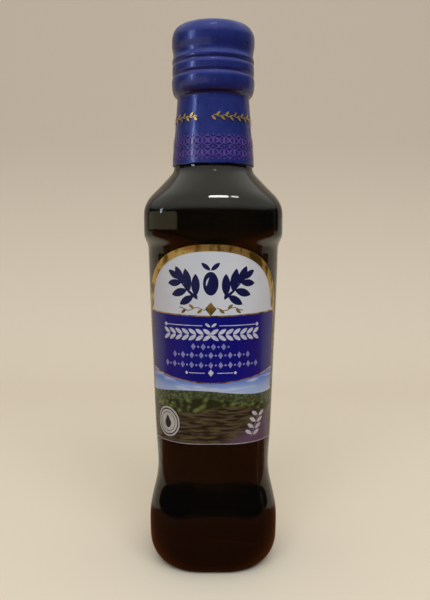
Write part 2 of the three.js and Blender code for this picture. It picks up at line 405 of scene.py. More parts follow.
def absorb(finish, colour, density):
    """Tints what light is left after passing through the piece."""
    volume = finish.add("ShaderNodeVolumeAbsorption")
    volume.inputs["Color"].default_value = colour
    volume.inputs["Density"].default_value = density
    finish.link(volume.outputs[0], finish.output.inputs["Volume"])


def dark_glass():
    finish = Nodes("dark_olive_glass")
    finish.set(Base_Color=(1, 1, 1, 1), Roughness=0.02, IOR=GLASS_IOR, Transmission_Weight=1.0)
    absorb(finish, GLASS_TINT, GLASS_DENSITY)
    angle, _ = finish.round_the_axis()
    # the mould's two joint lines run up opposite corners
    off_seam = finish.math("PINGPONG", finish.math("SUBTRACT", angle, math.pi / 4), math.pi / 2)
    seam = finish.ramp(off_seam, 0.0, SEAM_HALF_WIDTH, 1.0, 0.0)
    ripple = finish.math("MULTIPLY", finish.noise(14, 1.0), 2.0)
    finish.bump(finish.math("ADD", seam, ripple), GLASS_BUMP)
    return finish.material


def oil_liquid():
    finish = Nodes("olive_oil")
    finish.set(Base_Color=(1, 1, 1, 1), Roughness=0.0, IOR=OIL_IOR, Transmission_Weight=1.0)
    absorb(finish, OIL_TINT, OIL_DENSITY)
    return finish.material


FILM_BUMP = 0.12


def blue_film():
    finish = Nodes("blue_shrink_film")
    cloudy = finish.ramp(finish.noise(9, 3.0), 0.35, 0.7)
    colour = finish.mix(cloudy, srgb(36, 50, 130), srgb(44, 56, 138))
    finish.set(
        Base_Color=colour,
        Metallic=0.3,
        Roughness=finish.ramp(finish.noise(2.5, 3.0), 0.3, 0.7, 0.26, 0.38),
        IOR=1.5,
        Coat_Weight=0.3,
        Coat_Roughness=0.12,
    )
    creases = finish.noise(3.0, 2.0, scale=(1, 1, 0.35))
    finish.bump(creases, FILM_BUMP)
    return finish.material


def lattice_ink():
    finish = Nodes("violet_lattice_ink")
    uneven = finish.ramp(finish.noise(3), 0.3, 0.7)
    colour = finish.mix(uneven, srgb(84, 58, 146), srgb(104, 78, 160))
    finish.set(Base_Color=colour, Roughness=0.3, Coat_Weight=0.3, Coat_Roughness=0.12)
    return finish.material


def gold_foil():
    finish = Nodes("gold_foil")
    streaks = finish.noise(5, 2.0, scale=(1, 1, 0.6))
    warm = finish.mix(finish.ramp(streaks, 0.35, 0.5), srgb(118, 106, 40), srgb(230, 194, 112))
    colour = finish.mix(finish.ramp(streaks, 0.54, 0.66), warm, srgb(146, 116, 46))
    finish.set(Base_Color=colour, Metallic=0.8, Roughness=0.34)
    finish.bump(finish.noise(1.4, 2.0), 0.03)
    return finish.material


def flat_ink(name, low, high):
    """A printed ink that varies a little between two colours."""
    finish = Nodes(name)
    colour = finish.mix(finish.ramp(finish.noise(2.0), 0.35, 0.65), low, high)
    finish.set(Base_Color=colour, Roughness=0.34, Coat_Weight=0.3, Coat_Roughness=0.1)
    return finish.material


def cap_lacquer():
    finish = Nodes("cap_lacquer")
    rings = finish.noise(0.5, 2.0, scale=(0.2, 0.2, 1))
    finish.set(
        Base_Color=finish.mix(finish.ramp(rings, 0.3, 0.7), srgb(24, 42, 126), srgb(32, 50, 134)),
        Metallic=0.2,
        Roughness=0.32,
        Coat_Weight=0.3,
    )
    finish.bump(finish.noise(1.2, 3.0), 0.02)
    return finish.material


# Where the printed fields of the label meet, as heights in millimetres
DOME_LOW_Z = 105.2
BLUE_LOW_Z = 79.3
SKY_LOW_Z = 75.2
HILLS_LOW_Z = 72.0
GROVE_LOW_Z = 67.5
# The lower lines of the dome and of the blue field rise to both sides, by their own sweep
# at SWEEP_REACH from the middle
SWEEP_REACH = 30.0
SWEEP_POWER = 1.6
DOME_SWEEP = 1.0
BLUE_SWEEP = 4.2
# The violet path lies right of a slanting line: where that line is, and how far its edge is soft
PATH_SLANT = 1.6
PATH_FROM = -87.0
PATH_FULL = -75.0
INK_EDGE = 0.12
GROVE_EDGE = 0.4
HILLS_EDGE = 0.3
PAPER_RIM = (0.93, 0.96)
MEAN_PANEL_R = 25.4


def label_print():
    finish = Nodes("coated_label_print")
    angle, z = finish.round_the_axis()
    across = finish.math("MULTIPLY", finish.math("SUBTRACT", angle, LABEL_TURN), MEAN_PANEL_R)
    aside = finish.math("DIVIDE", finish.math("ABSOLUTE", across), SWEEP_REACH)
    wide = finish.math("POWER", aside, SWEEP_POWER)

    def above(line, edge=INK_EDGE):
        return finish.ramp(finish.math("SUBTRACT", z, line), -edge, edge)

    dome_edge = finish.math("MULTIPLY_ADD", wide, DOME_SWEEP, DOME_LOW_Z)
    blue_edge = finish.math("MULTIPLY_ADD", wide, BLUE_SWEEP, BLUE_LOW_Z)
    swell = finish.math("SINE", finish.math("MULTIPLY_ADD", across, 0.11, 2.2))
    sky_edge = finish.math("MULTIPLY_ADD", swell, 1.1, SKY_LOW_Z)
    roll = finish.math("SINE", finish.math("MULTIPLY_ADD", across, 0.16, 0.4))
    rough_edge = finish.math("MULTIPLY", finish.noise(1.6, 3.0), 2.4)
    grove_low = finish.math("MULTIPLY_ADD", roll, 1.6, GROVE_LOW_Z)
    grove_edge = finish.math("ADD", grove_low, rough_edge)

    def flat(scale_s, scale_z, shift=0.0):
        """The place on the flat label, for a pattern that follows the paper."""
        joined = finish.add("ShaderNodeCombineXYZ")
        finish.feed(joined.inputs[0], finish.math("MULTIPLY_ADD", across, scale_s, shift))
        finish.feed(joined.inputs[1], finish.math("MULTIPLY", z, scale_z))
        return joined.outputs[0]

    def crowns(size, dark, light):
        """Round tree crowns seen from above and aside, dark between and light on top."""
        cells = finish.add("ShaderNodeTexVoronoi", feature="SMOOTH_F1")
        finish.link(flat(1 / size, 1.35 / size, size), cells.inputs["Vector"])
        cells.inputs["Scale"].default_value = 1.0
        leafy = finish.math("MULTIPLY_ADD", finish.noise(0.7, 3.0), 0.35, cells.outputs["Distance"])
        return finish.mix(finish.ramp(leafy, 0.3, 0.75), light, dark)

    # from the foot up: earth in soft furrows, two hills of trees, a sky with thin cloud, blue, white
    furrow = finish.add("ShaderNodeTexNoise")
    finish.link(flat(0.16, 1.1), furrow.inputs["Vector"])
    furrow.inputs["Scale"].default_value = 1.0
    furrow.inputs["Detail"].default_value = 5.0
    soil = finish.mix(finish.ramp(furrow.outputs[0], 0.38, 0.62), srgb(30, 27, 20), srgb(92, 82, 58))
    right_of_path = finish.math("MULTIPLY_ADD", z, -PATH_SLANT, across)
    path = finish.ramp(right_of_path, PATH_FROM, PATH_FULL)
    earth = finish.mix(path, soil, srgb(104, 80, 102))
    grove = crowns(2.3, srgb(36, 44, 22), srgb(112, 126, 70))
    hills = crowns(1.2, srgb(58, 68, 44), srgb(100, 114, 72))
    lie = finish.math("SINE", finish.math("MULTIPLY_ADD", across, -0.13, 1.0))
    hills_edge = finish.math("MULTIPLY_ADD", lie, 1.3, HILLS_LOW_Z)
    land = finish.mix(above(hills_edge, HILLS_EDGE), grove, hills)
    streaks = finish.add("ShaderNodeTexNoise")
    finish.link(flat(0.07, 0.45), streaks.inputs["Vector"])
    streaks.inputs["Scale"].default_value = 1.0
    streaks.inputs["Detail"].default_value = 4.0
    high_sky = finish.ramp(z, SKY_LOW_Z, SKY_LOW_Z + 6.0)
    clear = finish.mix(high_sky, srgb(178, 200, 238), srgb(96, 132, 218))
    sky = finish.mix(finish.ramp(streaks.outputs[0], 0.46, 0.66), clear, srgb(206, 218, 240))
    uneven_blue = finish.ramp(finish.noise(12, 2.0), 0.3, 0.7)
    blue = finish.mix(uneven_blue, srgb(2, 10, 124), srgb(6, 16, 132))
    uneven_white = finish.ramp(finish.noise(16, 2.0), 0.3, 0.7)
    white = finish.mix(uneven_white, srgb(226, 230, 236), srgb(236, 239, 243))

    colour = finish.mix(above(grove_edge, GROVE_EDGE), earth, land)
    colour = finish.mix(above(sky_edge), colour, sky)
    colour = finish.mix(above(blue_edge), colour, blue)
    colour = finish.mix(above(dome_edge), colour, white)

    # the paper is gold-toned under the foil's outer edge, all round the arch
    side = finish.math("DIVIDE", finish.math("ABSOLUTE", across), MEAN_PANEL_R * LABEL_HALF_ANGLE)
    over_spring = finish.math("SUBTRACT", z, LABEL_SPRING_Z)
    rise = finish.math("DIVIDE", over_spring, LABEL_TOP_Z - LABEL_SPRING_Z)
    rim = finish.math(
        "ADD",
        finish.math("POWER", side, LABEL_ARCH_POWER),
        finish.math("POWER", finish.math("MAXIMUM", rise, 0.0), LABEL_ARCH_POWER),
    )
    colour = finish.mix(finish.ramp(rim, *PAPER_RIM), colour, srgb(150, 122, 62))
    finish.set(
        Base_Color=colour,
        Roughness=finish.ramp(finish.noise(3.0, 2.0), 0.3, 0.7, 0.3, 0.38),
        Coat_Weight=0.3,
        Coat_Roughness=0.08,
    )
    finish.bump(finish.noise(6.0, 3.0), 0.03)
    return finish.material


# Glass, oil and cap

RIPPLE_DEPTH = 0.06
RIPPLE_PER_METRE = 60
RIPPLE_START = Vector((3.1, 1.7, 0.4))
RIPPLE_LOW_Z = 6


def ripple_glass(bm):
    """Gives the outer wall the slight waves of blown glass, always inwards."""
    for v in bm.verts:
        r = math.hypot(v.co.x, v.co.y)
        z = v.co.z / MM
        outside = r > SAME_PLACE and r / MM > body_half(min(z, NECK_LOW_Z)) - WALL / 2
        if outside and RIPPLE_LOW_Z < z < NECK_TOP_Z:
            wave = noise.noise(v.co * RIPPLE_PER_METRE + RIPPLE_START)
            pull = RIPPLE_DEPTH * (0.5 + 0.5 * wave) * MM
            v.co.x *= 1 - pull / r
            v.co.y *= 1 - pull / r


def make_glass():
    bm = turned(glass_outline(), GLASS_STEPS)
    press_square(bm)
    ripple_glass(bm)
    return piece("bottle_glass", bm, dark_glass(), "bottle")


def make_oil():
    """The oil reaches just into the wall, and its top turns up a little at the glass."""
    inside = inside_outline(WALL - OIL_INTO_WALL, BORE_R + OIL_INTO_WALL)
    wall = [point for point in inside if point[1] < OIL_LEVEL_Z]
    rim_r = wall[-1][0]
    surface = bend(
        [
            (rim_r, OIL_LEVEL_Z + OIL_TURNS_UP),
            (rim_r - OIL_TURN_REACH / 3, OIL_LEVEL_Z),
            (rim_r - OIL_TURN_REACH, OIL_LEVEL_Z),
        ],
        5,
    )
    bm = turned(wall + surface + [(0, OIL_LEVEL_Z)], PLAIN_STEPS)
    press_square(bm)
    return piece("oil_fill", bm, oil_liquid(), "oil")


# The lower edge of the cap's side tucks in under its bulge
TUCK_IN = 1.2
TUCK_DOWN = 0.5
BULGE = (0.15, 193.0)
# The curves of the cap's side over the bulge, each with its steps. A point is how far it stands
# out from the film's half width, and its height.
CAP_CURVES = (
    ((BULGE, (0.2, 194.4), (-0.05, 195.0)), 5),
    (((-0.05, 195.0), (-0.75, 195.6), (-0.12, 196.2)), 6),
    (((-0.12, 196.2), (0.0, 197.8), (-0.12, 199.4)), 4),
    (((-0.12, 199.4), (-0.67, 200.1), (-0.12, 200.7)), 6),
    (((-0.12, 200.7), (0.08, 201.3), (-0.12, 201.9)), 4),
    (((-0.12, 201.9), (-0.95, 203.6), (-0.1, 205.6), (0, 207)), 12),
)
CAP_WALL = 1.15
CAP_OVER_MOUTH = 0.4
# The dish in the cap's top, as radius and depth: a fine step, then a shallow hollow
DISH_STEP = ((11.0, 0), (10.4, 0), (10.2, 0.3))
DISH_HOLLOW = ((6.0, 0.35), (3.0, 0.45), (0, 0.45))


def cap_side(grow, low_z):
    """The cap's side from its lower edge to under its top edge: a bulge, a thin groove,
    a ring, a groove, a ridge and a hollow band."""
    half = FILM_HALF + grow
    side = bend(
        [
            (half - TUCK_IN, low_z - TUCK_DOWN),
            (half - 0.4, low_z),
            (half + 0.05, low_z + 1.6),
            (half + BULGE[0], BULGE[1]),
        ],
        8,
    )
    for points, steps in CAP_CURVES:
        side += bend([(half + out, z) for out, z in points], steps)
    return side


def make_cap():
    grow = -FILM - FILM_GAP
    half = FILM_HALF + grow
    top_z = TOTAL_HEIGHT - FILM - FILM_GAP
    edge_out = FILM_EDGE_OUT + grow
    edge_up = FILM_EDGE_UP + grow
    ceiling_z = MOUTH_TOP_Z + CAP_OVER_MOUTH
    inside = [(0, ceiling_z), (half - CAP_WALL, ceiling_z), (half - CAP_WALL, CAP_LOW_Z)]
    edge = arc(half - edge_out, top_z - edge_up, edge_out, edge_up, 0, 90, 10)
    dish = bend([(r, top_z - deep) for r, deep in DISH_STEP], 5)
    dish += bend([(r, top_z - deep) for r, deep in DISH_HOLLOW], 6)
    bm = turned(inside + cap_side(grow, CAP_LOW_Z + TUCK_DOWN) + edge + dish, PLAIN_STEPS)
    return piece("screw_cap", bm, cap_lacquer(), "cap")


# The film

FILM_NECK_SHORT = 0.6
FILM_STEP_PULL = 0.9
HEM_DROP = 0.15


def film_outline(inset):
    """One side of the film: up the neck, out under the cap, up its side and in over its edge."""
    off = FILM + FILM_GAP - inset
    half = FILM_HALF - inset
    top_z = TOTAL_HEIGHT - inset
    edge_out = FILM_EDGE_OUT - inset
    edge_up = FILM_EDGE_UP - inset
    lift = inset - FILM
    under_z = CAP_LOW_Z - FILM_GAP + lift
    neck_top = (NECK_TOP_R + off, NECK_TOP_Z - FILM_NECK_SHORT + lift)
    neck = bend([(NECK_LOW_R + off, NECK_LOW_Z), (NECK_BOW_R + off, NECK_BOW_Z), neck_top], 30)
    step_end = (half - TUCK_IN, under_z - TUCK_DOWN)
    step = bend([neck_top, (neck_top[0], under_z - FILM_STEP_PULL), step_end], 6)
    edge = arc(half - edge_out, top_z - edge_up, edge_out, edge_up, 0, 90, 14)
    return neck + step + cap_side(-inset, under_z) + edge + [(FILM_TOP_HOLE_R, top_z)]


FILM_WAVE = 0.35
WAVE_REACH = 5
CREASE_DEPTH = 0.07
FINE_CREASE_DEPTH = 0.025
CREASED_TO_Z = TOTAL_HEIGHT - 0.6
FLAT_FROM_Z = TOTAL_HEIGHT - 0.05
LAP_ANGLE = math.radians(4.5)
LAP_HALF_ANGLE = math.radians(2.2)
LAP_LIFT = 0.08


def shrink_film(bm):
    """Waves in the film's lower edge, soft creases, and the lap of its upright seam."""
    for v in bm.verts:
        angle = math.atan2(v.co.x, -v.co.y)
        z = v.co.z / MM
        r = math.hypot(v.co.x, v.co.y) / MM
        around = Vector((math.cos(angle), math.sin(angle), 0))
        low = 1 - smooth_step(NECK_LOW_Z, NECK_LOW_Z + WAVE_REACH, z)
        v.co.z += FILM_WAVE * MM * low * (noise.noise(around * 2.6) + 0.4)
        crease = noise.noise(around * 5 + Vector((0, 0, z * 0.09))) * CREASE_DEPTH
        fine = noise.noise(around * 16 + Vector((0, 0, z * 0.25))) * FINE_CREASE_DEPTH
        lap = LAP_LIFT * (1 - smooth_step(0.7, 1.3, abs(angle - LAP_ANGLE) / LAP_HALF_ANGLE))
        flat_top = smooth_step(CREASED_TO_Z, FLAT_FROM_Z, z)
        out = (crease + fine + lap) * (1 - flat_top)
        v.co.x *= (r + out) / r
        v.co.y *= (r + out) / r


VINE_Z = 179.3


def film_radius(z):
    """The film's outer radius on the neck at a height."""
    share = (z - NECK_LOW_Z) / (NECK_TOP_Z - NECK_LOW_Z)
    low, bow, top = (r + FILM + FILM_GAP for r in (NECK_LOW_R, NECK_BOW_R, NECK_TOP_R))
    return lerp(lerp(low, bow, share), lerp(bow, top, share), share)


def make_film():
    outer, inner = film_outline(0), film_outline(FILM)[::-1]
    hem_r = (outer[0][0] + inner[-1][0]) / 2
    hem = arc(hem_r, NECK_LOW_Z, FILM / 2, HEM_DROP, 180, 360, 6)
    bm = turned(outer + inner + hem[1:], FILM_STEPS)
    shrink_film(bm)
    return piece("capsule_film", bm, blue_film(), "capsule")


# Flat artwork, laid out as distance across and height, then wrapped on its carrier

def inlay(bm, place, across, along):
    """A grid of quads whose corners, from -1 to 1 each way, go where place puts them."""
    grid = bmesh.ops.create_grid(bm, x_segments=across, y_segments=along, size=1)
    for v in grid["verts"]:
        s, z = place(v.co.x, v.co.y)
        v.co = (s, z, 0)


def turn(s, z, degrees, centre):
    """A place turned about the artwork's origin, then moved to a centre."""
    t = math.radians(degrees)
    return (
        centre[0] + s * math.cos(t) - z * math.sin(t),
        centre[1] + s * math.sin(t) + z * math.cos(t),
    )


LEAF_TAPER = 0.85


def leaf(bm, centre, length, width, degrees, curl=0.0):
    def place(u, v):
        s = u * length / 2
        z = v * width / 2 * (1 - u * u) ** LEAF_TAPER + curl * (1 - u * u)
        return turn(s, z, degrees, centre)
    inlay(bm, place, 12, 4)


def disc(bm, centre, half_across, half_up, degrees=0.0):
    def place(u, v):
        s = half_across * u * math.sqrt(1 - v * v / 2)
        z = half_up * v * math.sqrt(1 - u * u / 2)
        return turn(s, z, degrees, centre)
    inlay(bm, place, 10, 10)


def ring(bm, centre, radius, width, sides=28):
    def place(u, v):
        r = radius + v * width / 2
        return (centre[0] + r * math.cos(math.pi * u), centre[1] + r * math.sin(math.pi * u))
    inlay(bm, place, sides, 1)


def lozenge(bm, centre, half_across, half_up):
    def place(u, v):
        return (centre[0] + half_across * (u - v) / 2, centre[1] + half_up * (u + v) / 2)
    inlay(bm, place, 3, 3)


def strip(bm, start, end, line, width, steps=40):
    """A band between two distances across, along line, which gives its height."""
    def place(u, v):
        s = lerp(start, end, (u + 1) / 2)
        return (s, line(s) + v * width / 2)
    inlay(bm, place, steps, 1)


def wrap_on(bm, radius_at, art_r_at, turn_by, lift):
    """Wraps flat artwork round the axis, lifted off a surface. A distance across becomes an
    angle at the artwork's own radius for that height."""
    for v in bm.verts:
        s, z = v.co.x, v.co.y
        angle = turn_by + s / art_r_at(z)
        r = radius_at(angle, z) + lift
        v.co = (r * math.sin(angle) * MM, -r * math.cos(angle) * MM, z * MM)
    bmesh.ops.remove_doubles(bm, verts=bm.verts, dist=SAME_PLACE)
    bmesh.ops.recalc_face_normals(bm, faces=bm.faces)
    outward = sum(face.normal.xy.dot(face.calc_center_median().xy) for face in bm.faces)
    if outward < 0:
        bmesh.ops.reverse_faces(bm, faces=bm.faces)


def label_radius(angle, z):
    """The label's face, at an angle from the front and a height."""
    return section_radius(body_half(z), flat_share(z), angle - math.pi / 2) + LABEL_GAP + LABEL_THICK


def label_pinch(z):
    """How much less of an angle the label spans at a height where the glass is squarer."""
    return 1 - LABEL_PINCH * flat_share(min(z, LABEL_SPRING_Z))


def on_label(name, bm, material, lift=PRINT_LIFT):
    wrap_on(bm, label_radius, lambda z: label_radius(0, z) / label_pinch(z), LABEL_TURN, lift)
    return piece(name, bm, material, None)


FILM_ART_R = film_radius(VINE_Z)
FILM_PRINT_LIFT = 0.1
FILM_FOIL_LIFT = 0.12


def on_film(name, bm, material, lift=FILM_PRINT_LIFT):
    wrap_on(bm, lambda angle, z: film_radius(z), lambda z: FILM_ART_R, 0, lift)
    return piece(name, bm, material, None)


def arch_point(theta, half_across, rise):
    """A point of the label's arch, from its right spring at 0 to its left one at pi."""
    cos, sin = math.cos(theta), math.sin(theta)
    power = 2 / LABEL_ARCH_POWER
    s = math.copysign(abs(cos) ** power, cos) * half_across
    return (s, LABEL_SPRING_Z + abs(sin) ** power * rise)


def label_edge(z):
    """Half the width of the label at a height below its arch."""
    return LABEL_HALF_ANGLE * label_radius(0, z)


def make_label_sheet():
    bm = bmesh.new()
    bmesh.ops.create_grid(bm, x_segments=110, y_segments=140, size=1)
    for v in bm.verts:
        share = math.sin(math.pi / 2 * v.co.x)
        arch = max(0, 1 - abs(share) ** LABEL_ARCH_POWER) ** (1 / LABEL_ARCH_POWER)
        top_z = lerp(LABEL_SPRING_Z, LABEL_TOP_Z, arch)
        z = lerp(LABEL_LOW_Z, top_z, (v.co.y + 1) / 2)
        angle = LABEL_TURN + share * LABEL_HALF_ANGLE * label_pinch(z)
        r = label_radius(angle, z)
        v.co = (r * math.sin(angle) * MM, -r * math.cos(angle) * MM, z * MM)
    bmesh.ops.recalc_face_normals(bm, faces=bm.faces)
    middle = min(bm.faces, key=lambda f: abs(f.calc_center_median().x))
    if middle.normal.y > 0:
        bmesh.ops.reverse_faces(bm, faces=bm.faces)
    bmesh.ops.solidify(bm, geom=bm.faces[:], thickness=LABEL_THICK * MM)
    return piece("label_sheet", bm, label_print(), "label")


BORDER_TOP = 2.4
BORDER_SIDE = 3.3
BORDER_TAIL_Z = 103.5
BORDER_FULL_Z = LABEL_SPRING_Z + 1.5
THIN_LINE = 0.3
THIN_LINE_LOW_Z = LABEL_LOW_Z + 0.4
EDGE_MARGIN = 0.03
BORDER_LIFT = 0.05


def make_label_border():
    """The gold band round the arch, and the thin line that goes on down the sides."""
    bm = bmesh.new()
    half = label_edge(LABEL_SPRING_Z) - EDGE_MARGIN
    rise = LABEL_TOP_Z - LABEL_SPRING_Z - EDGE_MARGIN

    def band(u, v):
        theta = math.pi * (u + 1) / 2
        outer = arch_point(theta, half, rise)
        inner = arch_point(theta, half - BORDER_SIDE, rise - BORDER_TOP)
        share = (v + 1) / 2
        return (lerp(inner[0], outer[0], share), lerp(inner[1], outer[1], share))
    inlay(bm, band, 96, 3)

    for side in (-1, 1):
        def tail(u, v, side=side):
            z = lerp(BORDER_TAIL_Z, LABEL_SPRING_Z, (u + 1) / 2)
            width = lerp(THIN_LINE, BORDER_SIDE, smooth_step(BORDER_TAIL_Z, BORDER_FULL_Z, z))
            return (side * (label_edge(z) - EDGE_MARGIN - width * (v + 1) / 2), z)
        inlay(bm, tail, 10, 3)

        def thin(u, v, side=side):
            z = lerp(THIN_LINE_LOW_Z, BORDER_TAIL_Z, (u + 1) / 2)
            return (side * (label_edge(z) - EDGE_MARGIN - THIN_LINE * (v + 1) / 2), z)
        inlay(bm, thin, 30, 1)
    return on_label("label_gold_border", bm, gold_foil(), BORDER_LIFT)


DOME_LINE_REACH = 28.5
DOME_LINE_WIDTH = 0.5
BLUE_LINE_REACH = 29.5
BLUE_LINE_WIDTH = 0.45
SCROLL_Z = 107.9
SCROLL_SPAN = (2.2, 12.5)
SCROLL_WIDTH = 0.32
SCROLL_WAVE = 0.55
SCROLL_LEAVES_AT = (4.2, 7.4, 10.6)
SCROLL_LEAF = (2.6, 1.1)
SCROLL_LEAF_OFF = 0.9
SCROLL_LEAN = 38


def dome_line(s):
    return DOME_LOW_Z + DOME_SWEEP * (abs(s) / SWEEP_REACH) ** SWEEP_POWER


def blue_line(s):
    return BLUE_LOW_Z + BLUE_SWEEP * (abs(s) / SWEEP_REACH) ** SWEEP_POWER


def scroll_line(s):
    return SCROLL_Z + SCROLL_WAVE * math.sin(s * 0.9)


def make_label_gold_lines():
    """Thin gold lines over and under the blue field, and the scroll under the sprig."""
    bm = bmesh.new()
    strip(bm, -DOME_LINE_REACH, DOME_LINE_REACH, dome_line, DOME_LINE_WIDTH)
    strip(bm, -BLUE_LINE_REACH, BLUE_LINE_REACH, blue_line, BLUE_LINE_WIDTH)
    for side in (-1, 1):
        strip(bm, side * SCROLL_SPAN[0], side * SCROLL_SPAN[1], scroll_line, SCROLL_WIDTH, 30)
        for k, s in enumerate(SCROLL_LEAVES_AT):
            up = 1 if k % 2 else -1
            centre = (side * s, SCROLL_Z + up * SCROLL_LEAF_OFF)
            leaf(bm, centre, *SCROLL_LEAF, side * up * SCROLL_LEAN)
    lozenge(bm, (0, SCROLL_Z), 2.2, 2.6)
    return on_label("label_gold_lines", bm, gold_foil(), PRINT_LIFT * 2)


OLIVE_CENTRE = (0, 117.4)
OLIVE_HALVES = (2.9, 4.4)
OLIVE_LEAF_AT = (1.8, 123.7)
OLIVE_LEAF = (4.4, 1.7)
OLIVE_LEAF_LEAN = 50
STEM_ROOT = (5.0, 112.2)
STEM_REACH = (7.4, 6.8)
STEM_CURVE = 1.4
STEM_HALF_WIDTHS = (0.8, 0.45)
# The right branch's leaves: how far up the stem, lean in degrees, length and width
SPRIG_LEAVES = (
    (0.1, 90, 8.4, 3.3),
    (0.44, 79, 8.6, 3.4),
    (0.76, 64, 7.6, 3.1),
    (0.2, -31, 6.6, 2.9),
    (0.54, -17, 7.0, 3.0),
    (0.86, -3, 6.2, 2.7),
    (1.0, 34, 5.8, 2.4),
)
# How far along its own length a leaf's middle is from the stem
LEAF_MIDDLE = 0.52


def make_label_sprig():
    """The bold emblem: a plump olive between two mirrored branches."""
    bm = bmesh.new()
    for side in (-1, 1):
        def stem(t, side=side):
            out = STEM_ROOT[0] + STEM_REACH[0] * t
            return (side * out, STEM_ROOT[1] + STEM_REACH[1] * t ** STEM_CURVE)

        def branch(u, v):
            t = (u + 1) / 2
            s, z = stem(t)
            return (s, z + v * lerp(*STEM_HALF_WIDTHS, t))
        inlay(bm, branch, 20, 1)
        for t, degrees, length, width in SPRIG_LEAVES:
            lean = degrees if side > 0 else 180 - degrees
            centre = turn(length * LEAF_MIDDLE, 0, lean, stem(t))
            leaf(bm, centre, length, width, lean)
    disc(bm, OLIVE_CENTRE, *OLIVE_HALVES)
    for side in (-1, 1):
        centre = (side * OLIVE_LEAF_AT[0], OLIVE_LEAF_AT[1])
        leaf(bm, centre, *OLIVE_LEAF, 90 - side * OLIVE_LEAF_LEAN)
    on_label("label_sprig", bm, flat_ink("navy_ink", srgb(11, 21, 74), srgb(16, 26, 84)))
    bm = bmesh.new()
    leaf(bm, (OLIVE_CENTRE[0] - 1.1, OLIVE_CENTRE[1] + 0.7), 3.4, 0.7, 72, 0.25)
    white = flat_ink("highlight_ink", srgb(214, 220, 232), srgb(226, 230, 240))
    return on_label("label_sprig_light", bm, white, PRINT_LIFT * 2)


TOP_RULE_Z = 101.6
TOP_RULE_SPAN = (3.2, 18.5)
TOP_RULE_WIDTH = 0.28
GARLAND_Z = 98.1
GARLAND_REACH = 18.6
GARLAND_COUNT = 14
GARLAND_LEAF = (3.7, 1.5)
GARLAND_LEAF_OFF = 1.15
GARLAND_LEAN = 34
LOW_RULE_Z = 83.3
LOW_RULE_SPAN = (2.4, 8.6)
LOW_RULE_WIDTH = 0.25
FOOT_LINE_Z = LABEL_LOW_Z + 0.3
FOOT_LINE_REACH = 29.0
FOOT_LINE_WIDTH = 0.16


def make_label_white_print():
    """White ornament on the blue field: a rule, a garland and a shorter rule. A fine white
    line runs along the label's foot."""
    bm = bmesh.new()
    for side in (-1, 1):
        start, end = (side * s for s in TOP_RULE_SPAN)
        strip(bm, start, end, lambda s: TOP_RULE_Z, TOP_RULE_WIDTH, 16)
        lozenge(bm, (side * 19.2, TOP_RULE_Z), 0.9, 0.9)
        leaf(bm, (side * 1.2, TOP_RULE_Z + 0.2), 2.4, 1.0, side * 35)
    for k in range(GARLAND_COUNT):
        s = lerp(-GARLAND_REACH, GARLAND_REACH, k / (GARLAND_COUNT - 1))
        side = 1 if s > 0 else -1
        for up in (1, -1):
            leaf(bm, (s, GARLAND_Z + up * GARLAND_LEAF_OFF), *GARLAND_LEAF, side * up * GARLAND_LEAN)
    strip(bm, -FOOT_LINE_REACH, FOOT_LINE_REACH, lambda s: FOOT_LINE_Z, FOOT_LINE_WIDTH, 60)
    lozenge(bm, (0, LOW_RULE_Z + 0.1), 1.1, 1.4)
    for side in (-1, 1):
        start, end = (side * s for s in LOW_RULE_SPAN)
        strip(bm, start, end, lambda s: LOW_RULE_Z, LOW_RULE_WIDTH, 10)
        lozenge(bm, (side * 9.6, LOW_RULE_Z), 0.7, 0.7)
    white = flat_ink("white_ink", srgb(208, 210, 224), srgb(226, 228, 238))
    return on_label("label_white_print", bm, white)


# Each row's height, its reach to both sides and how many marks it has
MARK_ROWS = ((93.5, 6.8, 8), (90.2, 14.8, 17), (86.4, 18.8, 21))
DOT_R = 0.4
LOZENGE_HALVES = (0.95, 1.3)


def make_label_rows():
    """Three rows of small grey lozenges and dots, each row wider than the one above."""
    bm = bmesh.new()
    for z, reach, count in MARK_ROWS:
        for k in range(count):
            s = lerp(-reach, reach, k / (count - 1))
            if k % 2:
                disc(bm, (s, z), DOT_R, DOT_R)
            else:
                lozenge(bm, (s, z), *LOZENGE_HALVES)
    grey = flat_ink("grey_ink", srgb(134, 134, 190), srgb(160, 160, 208))
    return on_label("label_rows", bm, grey)


SEAL_CENTRE = (-19.4, 62.8)
SEAL_R = 6.0
# The seal's dark rings: how far in from its rim, and how wide
SEAL_RINGS = ((0.9, 0.5), (2.2, 0.25))
DROP_HALVES = (1.7, 2.5)
DROP_PINCH = 0.55


def make_label_seal():
    """The round seal: a pale disc with a dark ring and a drop."""
    bm = bmesh.new()
    disc(bm, SEAL_CENTRE, SEAL_R, SEAL_R)
    on_label("label_seal", bm, flat_ink("seal_white", srgb(196, 194, 188), srgb(210, 208, 202)))
    bm = bmesh.new()
    for inwards, width in SEAL_RINGS:
        ring(bm, SEAL_CENTRE, SEAL_R - inwards, width)

    def drop(u, v):
        s = u * math.sqrt(1 - v * v / 2)
        z = v * math.sqrt(1 - u * u / 2)
        pinch = 1 - DROP_PINCH * smooth_step(-0.2, 1.0, z)
        return (SEAL_CENTRE[0] + DROP_HALVES[0] * s * pinch, SEAL_CENTRE[1] + DROP_HALVES[1] * z)
    inlay(bm, drop, 10, 10)
    dark = flat_ink("seal_ink", srgb(36, 34, 38), srgb(48, 46, 50))
    return on_label("label_seal_mark", bm, dark, PRINT_LIFT * 2)


TWIG_FOOT = (17.6, 57.2)
TWIG_TOP_S = 20.6
TWIG_SLOPE = 2.6
TWIG_WIDTH = 0.4
TWIG_PAIRS = 4
TWIG_FIRST_Z = 58.6
TWIG_PITCH = 2.4
TWIG_LEAF = (3.6, 1.5)
TWIG_LEAF_OFF = 1.9


